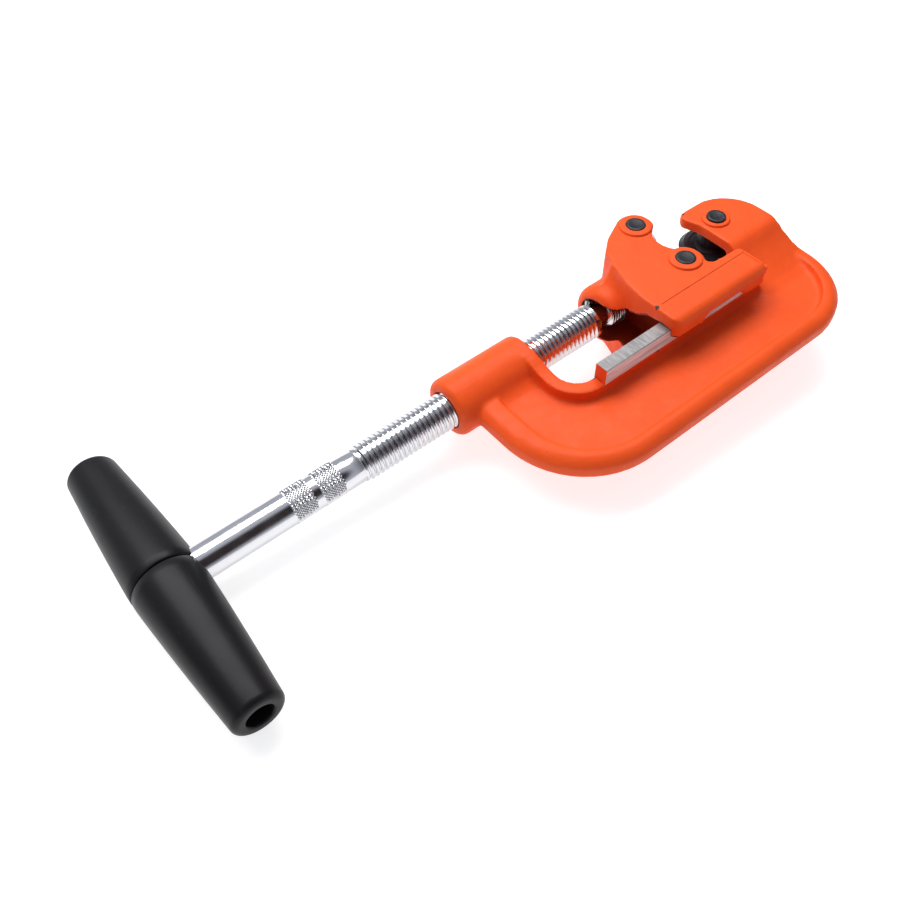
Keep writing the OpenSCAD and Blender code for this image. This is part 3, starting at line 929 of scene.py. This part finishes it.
def thread_helix(size):
    """The thread's surface, one pitch of profile spun along the screw, with its ends closed."""
    bm = bmesh.new()
    crest = size.thread_r
    root = size.thread_r - size.thread_depth
    # One pitch: rising flank, rounded crest, falling flank, rounded root
    flank = crest - 0.14
    shape = [(0, root), (0.10, root + 0.16), (0.27, flank), (0.36, crest), (0.54, crest), (0.63, flank),
             (0.80, root + 0.16), (0.90, root), (1, root)]
    start = size.thread_start - 1.0
    turns = math.floor((size.thread_end - 0.9 - start) / size.pitch)
    verts = [bm.verts.new((start + along * size.pitch, radius, 0)) for along, radius in shape]
    edges = [bm.edges.new(pair) for pair in zip(verts, verts[1:])]
    steps = 56
    bmesh.ops.spin(
        bm,
        geom=verts + edges,
        cent=(0, 0, 0),
        axis=(1, 0, 0),
        angle=math.tau,
        steps=steps,
        dvec=(size.pitch / steps, 0, 0),
    )
    bmesh.ops.remove_doubles(bm, verts=bm.verts, dist=0.002)
    coil = new_piece("coil", bm)
    array = coil.modifiers.new("turns", "ARRAY")
    array.count = turns
    array.use_relative_offset = False
    array.use_constant_offset = True
    array.constant_offset_displace = (size.pitch, 0, 0)
    array.use_merge_vertices = True
    array.merge_threshold = 0.004
    apply_modifiers(coil)
    bm = taken_shape(coil)
    bmesh.ops.remove_doubles(bm, verts=bm.verts, dist=0.004)
    loops = [e for e in bm.edges if e.is_boundary]
    bmesh.ops.holes_fill(bm, edges=loops)
    # The thread rises out of the rod over its first turn and a half
    for vert in bm.verts:
        fade = min(1.0, max(0.0, (vert.co.x - start) / (1.6 * size.pitch)))
        if fade < 1:
            radius = math.hypot(vert.co.y, vert.co.z)
            scale = (root + (radius - root) * fade) / radius
            vert.co.y *= scale
            vert.co.z *= scale
    bmesh.ops.recalc_face_normals(bm, faces=bm.faces)
    return bm


def join_shapes(*shapes):
    """Puts shapes into one bmesh without uniting them."""
    whole = bmesh.new()
    for shape in shapes:
        mesh = bpy.data.meshes.new("part")
        shape.to_mesh(mesh)
        shape.free()
        whole.from_mesh(mesh)
        bpy.data.meshes.remove(mesh)
    return whole


def build_feed_screw(size, finishes):
    """The screw: plain rod with two knurled bands, thread, neck, ribbed nose and pilot."""
    start = SCREW_LOW.x
    first = size.knurl_start
    second = first + size.knurl_l + size.knurl_gap
    r = size.rod_r
    knurl_end = second + size.knurl_l
    collar = size.thread_start + 0.8
    root = size.thread_r - size.thread_depth - 0.1
    plain = [
        turned([(start, 0), (start, r - 0.8), (start + 0.8, r), (first, r), (first, 0)], "X"),
        turned([(first + size.knurl_l, 0), (first + size.knurl_l, r), (second, r), (second, 0)], "X"),
        turned([(knurl_end, 0), (knurl_end, r), (collar, r), (collar + 0.6, root), (collar + 0.6, 0)], "X"),
    ]
    bands = [knurled_band(size, first), knurled_band(size, second)]
    end = size.thread_end
    nose = WASHER_LOW.x - 0.3
    ribs = []
    for k in range(4):
        at = nose - 6.5 + 1.5 * k
        ribs += [(at, 6.2), (at + 0.3, 6.8), (at + 0.9, 6.8), (at + 1.2, 6.2)]
    tip = SCREW_HIGH.x
    crest = size.thread_r - 0.25
    last_thread = [(end - 2.2, 0), (end - 2.2, crest), (end - 0.8, crest), (end, size.thread_r - 1.0)]
    neck = [(end, 5.0), (nose - 6.5, 5.0)]
    pilot = [(nose, 6.2), (nose, 4.0), (tip - 0.5, 4.0), (tip, 3.5), (tip, 0)]
    tail = turned([*last_thread, *neck, *ribs, *pilot], "X")
    piece = new_piece("feed_screw_chromed", join_shapes(*plain, *bands, thread_helix(size), tail))
    shade(piece, 38)
    finish_piece(piece, "screw", [chrome_plate(finishes, "chrome_plate")], ["feed_screw"])
    return piece


def build_grip(size, name, side, finishes_material):
    """One grip half: a tapered moulding with a rounded end, an open hole and a bored inside."""
    middle, end, total = size.middle_r, size.end_r, size.grip_l
    lip = size.lip_r
    mouth = 0.9
    slope = math.atan2(middle - end, total - 4 - lip)
    joint_edge = [(0.15, middle - 1.6), (0.15, middle - 0.75), (0.35, middle - 0.3), (0.8, middle)]
    outer = [*joint_edge, (4, middle - 0.03)]
    swell = [(4 + (total - 4 - lip) * t, middle - (middle - end) * t + 0.25 * math.sin(math.pi * t)) for t in
             [k / 12 for k in range(1, 12)]]
    centre = (total - lip, end - lip)
    start_angle = math.pi / 2 - slope
    rim = [(centre[0] + lip * math.cos(a), centre[1] + lip * math.sin(a)) for a in
           [start_angle * (1 - k / 9) for k in range(10)]]
    hole_centre = (total - mouth, size.hole_r + mouth)
    hole = [(hole_centre[0] + mouth * math.cos(a), hole_centre[1] + mouth * math.sin(a)) for a in
            [-math.pi / 2 * k / 6 for k in range(7)]]
    inside = [(total - size.hole_l, size.hole_r), (total - size.hole_l, 5.0), (0.15, 5.0)]
    shape = turned([*outer, *swell, *rim, *hole, *inside], "-Y", (HANDLE_X, 0, 0), steps=96)
    if side > 0:
        bmesh.ops.scale(shape, vec=(1, -1, 1), verts=shape.verts)
        bmesh.ops.recalc_face_normals(shape, faces=shape.faces)
    piece = new_piece(name, shape)
    cut(piece, rod(7.1, SCREW_LOW.x - 0.1, HANDLE_X + 40, "X"))
    shade(piece, 40)
    node = name.replace("_moulding", "")
    finish_piece(piece, "screw", [finishes_material], [node])
    return piece


# Pins and wheel ------------------------------------------------------------------------------------


def build_pin(name, body, axis, top, bottom, material):
    """A headed pin with a softly dished head and a groove for its clip."""
    head, shank = 4.4, 3.5
    groove = bottom + 1.1
    rim = 0.45
    profile = [
        (bottom, 0), (bottom, shank - 0.4), (bottom + 0.4, shank), (groove, shank), (groove, 2.8),
        (groove + 1.0, 2.8), (groove + 1.0, shank), (top - 2.6, shank), (top - 2.6, head), (top - rim, head),
        (top - 0.13, head - 0.13), (top, head - rim), (top - 0.04, 2.9), (top - 0.16, 2.5), (top - 0.16, 0),
    ]
    piece = new_piece(name, turned(profile, centre=(axis.x, axis.y, 0), steps=72))
    shade(piece, 30)
    node = name.replace("_turned", "")
    finish_piece(piece, body, [material], [node])
    return piece


def build_retaining_pin(material):
    """The pin across the barrel that holds the screw's neck, driven in below the paint."""
    low, high = node_box("screw_retaining_pin")
    r = (high.x - low.x) / 2
    bottom, top = low.z + 1.2, high.z - 3.6
    profile = [(bottom, 0), (bottom, r - 0.3), (bottom + 0.3, r), (top - 0.3, r), (top, r - 0.3), (top, 0)]
    centre = ((low.x + high.x) / 2, (low.y + high.y) / 2, 0)
    piece = new_piece("screw_retaining_pin_driven", turned(profile, centre=centre, steps=48))
    shade(piece, 30)
    finish_piece(piece, "slide", [material], ["screw_retaining_pin"])
    return piece


def build_wheel(material):
    """The cutter wheel: a sharp bevelled rim, a stepped disc and a hub."""
    rim = (WHEEL_HIGH.x - WHEEL_LOW.x) / 2
    hub = WHEEL_HIGH.z
    bevel = [(0.06, rim), (0.9, rim - 0.9), (2.15, rim - 1.7), (2.5, rim - 2.0)]
    disc = [(2.5, rim - 4.2), (2.1, rim - 4.6), (2.1, rim - 6.6), (2.5, rim - 7.0)]
    boss = [(2.9, 6.9), (3.4, 6.5), (hub - 0.6, 6.5), (hub, 5.9), (hub, 3.55)]
    half = bevel + disc + boss
    profile = half + [(-z, r) for z, r in reversed(half)]
    centre = (WHEEL_AXIS.x, WHEEL_AXIS.y, 0)
    piece = new_piece("cutter_wheel_turned", turned(profile, centre=centre, steps=96))
    shade(piece, 25)
    finish_piece(piece, "wheel", [material], ["cutter_wheel"])
    return piece


# Stage ---------------------------------------------------------------------------------------------


def aim(thing, place, target, roll=0.0):
    """Points a camera or a light from a place at a target."""
    view = (Vector(target) - Vector(place)).to_track_quat("-Z", "Y").to_matrix().to_4x4()
    thing.matrix_world = Matrix.Translation(place) @ view @ Matrix.Rotation(roll, 4, "Z")


def soft_light(name, place, target, width, height, power):
    data = bpy.data.lights.new(name, "AREA")
    data.shape = "RECTANGLE"
    data.size = width
    data.size_y = height
    data.energy = power
    light = bpy.data.objects.new(name, data)
    bpy.context.scene.collection.objects.link(light)
    aim(light, place, target)
    return light


def build_camera():
    data = bpy.data.cameras.new("camera")
    data.sensor_width = 36
    data.lens = 36.278
    camera = bpy.data.objects.new("camera", data)
    bpy.context.scene.collection.objects.link(camera)
    target = Vector((-0.01166, -0.01711, 0))
    distance = 0.35609
    turn, rise, roll = math.radians(-37.13), math.radians(51.48), math.radians(-2.14)
    back = Vector((math.sin(turn) * math.cos(rise), -math.cos(turn) * math.cos(rise), math.sin(rise)))
    right = Vector((math.cos(turn), math.sin(turn), 0))
    up = back.cross(right)
    across = right * math.cos(roll) + up * math.sin(roll)
    upward = up * math.cos(roll) - right * math.sin(roll)
    place = target + back * distance
    rows = Matrix((across, upward, back)).transposed().to_4x4()
    camera.matrix_world = Matrix.Translation(place) @ rows
    data.clip_start = 0.01
    data.clip_end = 20
    bpy.context.scene.camera = camera


def build_floor(finishes):
    """A wide pale floor that touches the handle and the roller pins."""
    pin_low = Vector((ROLLERS["near"].x, 0, HOUSING_LOW.z - 2.3))
    grip_low = Vector((HANDLE_X, 0, GRIP_LOW.z))
    slope = (pin_low.z - grip_low.z) / (pin_low.x - grip_low.x)
    bm = bmesh.new()
    bmesh.ops.create_grid(bm, x_segments=1, y_segments=1, size=6)
    floor = new_piece("floor", bm)
    for vert in floor.data.vertices:
        vert.co.z = grip_low.z * MM - 0.0002 + slope * (vert.co.x - grip_low.x * MM)
    f = Finish("floor_paper")
    glow = {"Emission_Color": (1, 1, 1, 1), "Emission_Strength": 0.78}
    f.done(Base_Color=solid(finishes.floor), Roughness=0.9, **glow)
    floor.data.materials.append(f.material)


def build_world():
    """A studio round the object: dim on the camera's side, grey beyond it and pale overhead."""
    world = bpy.data.worlds.new("studio")
    bpy.context.scene.world = world
    world.use_nodes = True
    nodes, links = world.node_tree.nodes, world.node_tree.links
    background = nodes["Background"]
    coords = nodes.new("ShaderNodeTexCoord")
    facing = nodes.new("ShaderNodeVectorMath")
    facing.operation = "DOT_PRODUCT"
    facing.inputs[1].default_value = (0.0, -0.743, 0.669)
    links.new(coords.outputs["Generated"], facing.inputs[0])
    ramp = nodes.new("ShaderNodeMapRange")
    ramp.inputs["From Min"].default_value = 0.80
    ramp.inputs["From Max"].default_value = 0.93
    links.new(facing.outputs["Value"], ramp.inputs["Value"])
    # The two ends of the studio, along X, are dim as well
    split = nodes.new("ShaderNodeSeparateXYZ")
    links.new(coords.outputs["Generated"], split.inputs["Vector"])
    along = nodes.new("ShaderNodeMath")
    along.operation = "ABSOLUTE"
    links.new(split.outputs["X"], along.inputs[0])
    ends = nodes.new("ShaderNodeMapRange")
    ends.inputs["From Min"].default_value = 0.62
    ends.inputs["From Max"].default_value = 0.85
    links.new(along.outputs["Value"], ends.inputs["Value"])
    dim = nodes.new("ShaderNodeMath")
    dim.operation = "MAXIMUM"
    links.new(ramp.outputs["Result"], dim.inputs[0])
    links.new(ends.outputs["Result"], dim.inputs[1])
    mix = nodes.new("ShaderNodeMix")
    mix.data_type = "RGBA"
    mix.inputs["A"].default_value = (0.50, 0.52, 0.58, 1.0)
    mix.inputs["B"].default_value = (0.035, 0.026, 0.026, 1.0)
    links.new(dim.outputs["Value"], mix.inputs["Factor"])
    links.new(mix.outputs["Result"], background.inputs["Color"])
    background.inputs["Strength"].default_value = 1.0


# Operators -----------------------------------------------------------------------------------------


class CUTTER_OT_frame_casting(bpy.types.Operator):
    """Build the cast C-frame with its machined rail"""

    bl_idname = "cutter.frame_casting"
    bl_label = "Frame casting"

    def execute(self, context):
        scene = context.scene
        build_frame_casting(in_mm(scene.cutter_frame), scene.cutter_finishes)
        return {"FINISHED"}


class CUTTER_OT_roller_housing(bpy.types.Operator):
    """Build the sliding roller housing"""

    bl_idname = "cutter.roller_housing"
    bl_label = "Roller housing"

    def execute(self, context):
        scene = context.scene
        build_housing(in_mm(scene.cutter_housing), in_mm(scene.cutter_frame), scene.cutter_finishes)
        return {"FINISHED"}


class CUTTER_OT_feed_screw(bpy.types.Operator):
    """Build the chromed feed screw"""

    bl_idname = "cutter.feed_screw"
    bl_label = "Feed screw"

    def execute(self, context):
        scene = context.scene
        build_feed_screw(in_mm(scene.cutter_screw), scene.cutter_finishes)
        return {"FINISHED"}


class CUTTER_OT_grips(bpy.types.Operator):
    """Build the two grips of the T-handle"""

    bl_idname = "cutter.grips"
    bl_label = "Grips"

    def execute(self, context):
        scene = context.scene
        material = grip_plastic(scene.cutter_finishes, "grip_moulding")
        build_grip(in_mm(scene.cutter_grips), "grip_near_moulding", -1, material)
        build_grip(in_mm(scene.cutter_grips), "grip_far_moulding", 1, material)
        return {"FINISHED"}


class CUTTER_OT_pins_and_wheel(bpy.types.Operator):
    """Build the three headed pins and the cutter wheel"""

    bl_idname = "cutter.pins_and_wheel"
    bl_label = "Pins and wheel"

    def execute(self, context):
        material = black_steel(context.scene.cutter_finishes, "black_steel")
        low, high = node_box("wheel_pin")
        build_pin("wheel_pin_turned", "frame", WHEEL_AXIS, high.z, low.z, material)
        for end, axis in ROLLERS.items():
            low, high = node_box("roller_pin_" + end)
            build_pin(f"roller_pin_{end}_turned", "slide", axis, high.z, low.z, material)
        build_wheel(material)
        finish_nodes(("wheel_pin_clip", "roller_clip_near", "roller_clip_far"), material)
        return {"FINISHED"}


class CUTTER_OT_steel_parts(bpy.types.Operator):
    """Finish the rollers, washer, bar and small pins"""

    bl_idname = "cutter.steel_parts"
    bl_label = "Steel parts"

    def execute(self, context):
        material = turned_steel(context.scene.cutter_finishes, "turned_steel")
        nodes = ("roller_near", "roller_far", "thrust_washer", "handle_bar", "handle_pin")
        finish_nodes(nodes, material)
        build_retaining_pin(material)
        return {"FINISHED"}


class CUTTER_OT_stage(bpy.types.Operator):
    """Set up the floor, the soft lights and the camera"""

    bl_idname = "cutter.stage"
    bl_label = "Stage"

    def execute(self, context):
        build_floor(context.scene.cutter_finishes)
        build_world()
        build_camera()
        middle = (0.02, 0, 0)
        soft_light("overhead", (0.10, 0.42, 0.92), middle, 1.25, 0.55, 13.5)
        context.scene.view_settings.view_transform = "Standard"
        return {"FINISHED"}


STEPS = (
    CUTTER_OT_frame_casting,
    CUTTER_OT_roller_housing,
    CUTTER_OT_feed_screw,
    CUTTER_OT_grips,
    CUTTER_OT_pins_and_wheel,
    CUTTER_OT_steel_parts,
    CUTTER_OT_stage,
)


class CUTTER_PT_panel(bpy.types.Panel):
    """Lists the steps that build the cutter"""

    bl_idname = "CUTTER_PT_panel"
    bl_label = "Pipe cutter"
    bl_space_type = "VIEW_3D"
    bl_region_type = "UI"
    bl_category = "Pipe cutter"

    def draw(self, context):
        for step in STEPS:
            self.layout.operator(step.bl_idname)


GROUPS = {
    "cutter_frame": FrameCastingSizes,
    "cutter_housing": HousingSizes,
    "cutter_screw": ScrewSizes,
    "cutter_grips": GripSizes,
    "cutter_finishes": FinishColours,
}


def register():
    for cls in (*GROUPS.values(), *STEPS, CUTTER_PT_panel):
        bpy.utils.register_class(cls)
    for name, group in GROUPS.items():
        setattr(bpy.types.Scene, name, PointerProperty(type=group))


def unregister():
    for name in GROUPS:
        delattr(bpy.types.Scene, name)
    for cls in reversed((*GROUPS.values(), *STEPS, CUTTER_PT_panel)):
        bpy.utils.unregister_class(cls)


def main():
    register()
    for step in STEPS:
        group, name = step.bl_idname.split(".")
        getattr(getattr(bpy.ops, group), name)()


if __name__ == "__main__":
    main()
